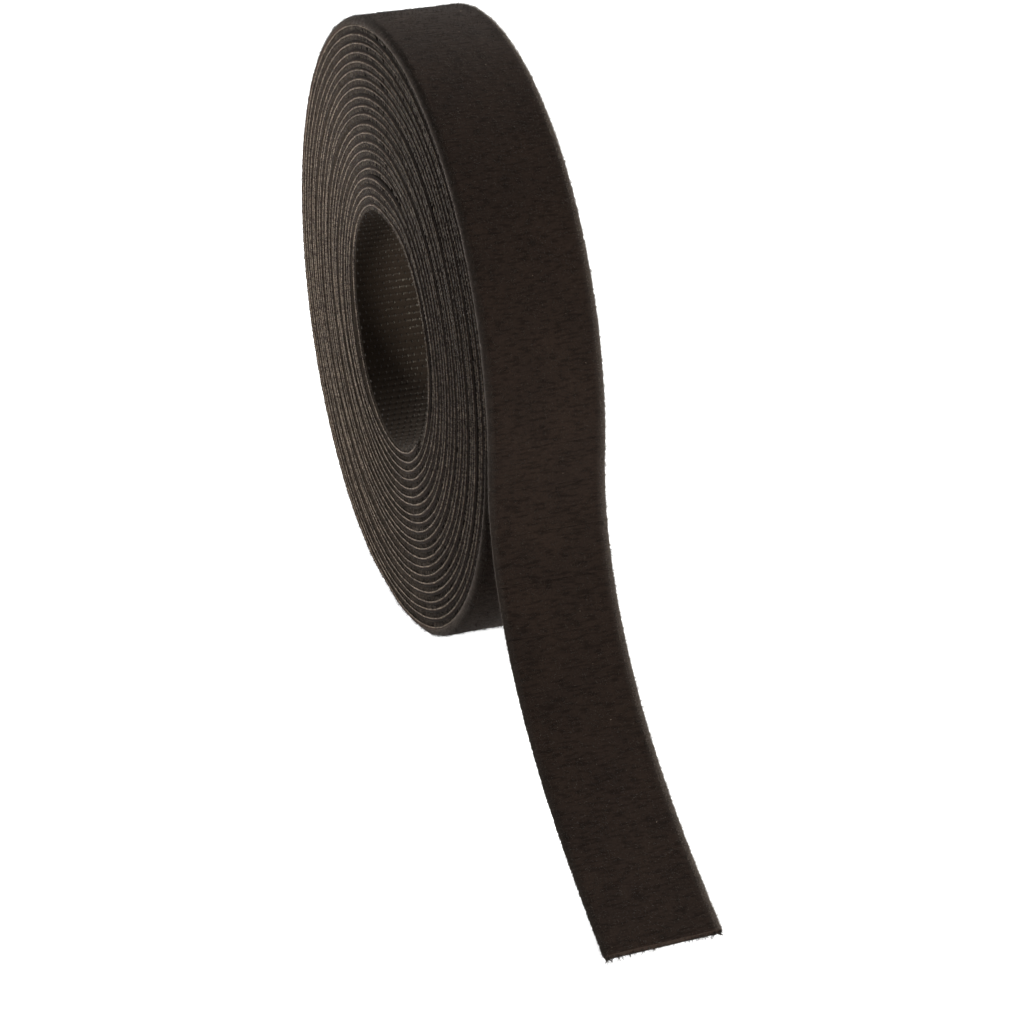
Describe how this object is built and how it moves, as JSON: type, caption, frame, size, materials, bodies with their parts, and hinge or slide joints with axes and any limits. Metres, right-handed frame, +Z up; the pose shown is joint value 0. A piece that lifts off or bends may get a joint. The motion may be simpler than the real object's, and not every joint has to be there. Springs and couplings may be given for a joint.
{
  "type": "hook and loop tape roll",
  "caption": "Coreless roll of double-sided hook and loop tape, pile side out, with a free end that curves down from the front to the table.",
  "frame": {"origin": "on the table, straight below the roll's axis, in the middle of the flat that the roll stands on", "axes": "+X along the roll's axis, across the tape; -Y towards the free end, which leaves the roll at the front; +Z up"},
  "size_m": [0.02, 0.1675, 0.1067],
  "materials": {
    "loop_tape": "brushed black-brown nylon pile, matt, with a soft pale sheen at grazing angles",
    "hook_tape": "woven black-brown nylon ground with rows of small glossy hooks"
  },
  "bodies": {
    "wound_roll": {"wound_loop_tape": "loop_tape", "wound_hook_tape": "hook_tape"},
    "tail_1": {"tail_loop_1": "loop_tape", "tail_hook_1": "hook_tape"},
    "tail_2": {"tail_loop_2": "loop_tape", "tail_hook_2": "hook_tape"},
    "tail_3": {"tail_loop_3": "loop_tape", "tail_hook_3": "hook_tape"},
    "tail_4": {"tail_loop_4": "loop_tape", "tail_hook_4": "hook_tape"},
    "tail_5": {"tail_loop_5": "loop_tape", "tail_hook_5": "hook_tape"},
    "tail_6": {"tail_loop_6": "loop_tape", "tail_hook_6": "hook_tape"},
    "tail_7": {"tail_loop_7": "loop_tape", "tail_hook_7": "hook_tape"},
    "tail_8": {"tail_loop_8": "loop_tape", "tail_hook_8": "hook_tape"},
    "tail_9": {"tail_loop_9": "loop_tape", "tail_hook_9": "hook_tape"}
  },
  "joints": [
    {"name": "tail_peel", "type": "hinge", "parent": "wound_roll", "child": "tail_1", "pos_m": [0, -0.05453, 0.0558], "axis": [-1, 0, 0], "range_deg": [-9.1, 45], "stiffness_Nm_per_rad": 0.01},
    {"name": "tail_bend_1", "type": "hinge", "parent": "tail_1", "child": "tail_2", "pos_m": [0, -0.05569, 0.04838], "axis": [-1, 0, 0], "range_deg": [-19.3, 16], "stiffness_Nm_per_rad": 0.01},
    {"name": "tail_bend_2", "type": "hinge", "parent": "tail_2", "child": "tail_3", "pos_m": [0, -0.05837, 0.04082], "axis": [-1, 0, 0], "range_deg": [-18.9, 15.7], "stiffness_Nm_per_rad": 0.01},
    {"name": "tail_bend_3", "type": "hinge", "parent": "tail_3", "child": "tail_4", "pos_m": [0, -0.06259, 0.03342], "axis": [-1, 0, 0], "range_deg": [-18.8, 15.7], "stiffness_Nm_per_rad": 0.01},
    {"name": "tail_bend_4", "type": "hinge", "parent": "tail_4", "child": "tail_5", "pos_m": [0, -0.0683, 0.02643], "axis": [-1, 0, 0], "range_deg": [-18.5, 15.4], "stiffness_Nm_per_rad": 0.01},
    {"name": "tail_bend_5", "type": "hinge", "parent": "tail_5", "child": "tail_6", "pos_m": [0, -0.07538, 0.02007], "axis": [-1, 0, 0], "range_deg": [-18, 14.9], "stiffness_Nm_per_rad": 0.01},
    {"name": "tail_bend_6", "type": "hinge", "parent": "tail_6", "child": "tail_7", "pos_m": [0, -0.08368, 0.01444], "axis": [-1, 0, 0], "range_deg": [-17.3, 14.3], "stiffness_Nm_per_rad": 0.01},
    {"name": "tail_bend_7", "type": "hinge", "parent": "tail_7", "child": "tail_8", "pos_m": [0, -0.09301, 0.00955], "axis": [-1, 0, 0], "range_deg": [-16.3, 13.5], "stiffness_Nm_per_rad": 0.01},
    {"name": "tail_bend_8", "type": "hinge", "parent": "tail_8", "child": "tail_9", "pos_m": [0, -0.1032, 0.0053], "axis": [-1, 0, 0], "range_deg": [-15, 12.4], "stiffness_Nm_per_rad": 0.01}
  ],
  "couplings": [
    {"joint": "tail_bend_1", "follows": "tail_bend_4", "ratio": 1.038},
    {"joint": "tail_bend_2", "follows": "tail_bend_4", "ratio": 1.018},
    {"joint": "tail_bend_3", "follows": "tail_bend_4", "ratio": 1.015},
    {"joint": "tail_bend_5", "follows": "tail_bend_8", "ratio": 1.198},
    {"joint": "tail_bend_6", "follows": "tail_bend_8", "ratio": 1.149},
    {"joint": "tail_bend_7", "follows": "tail_bend_8", "ratio": 1.083}
  ]
}
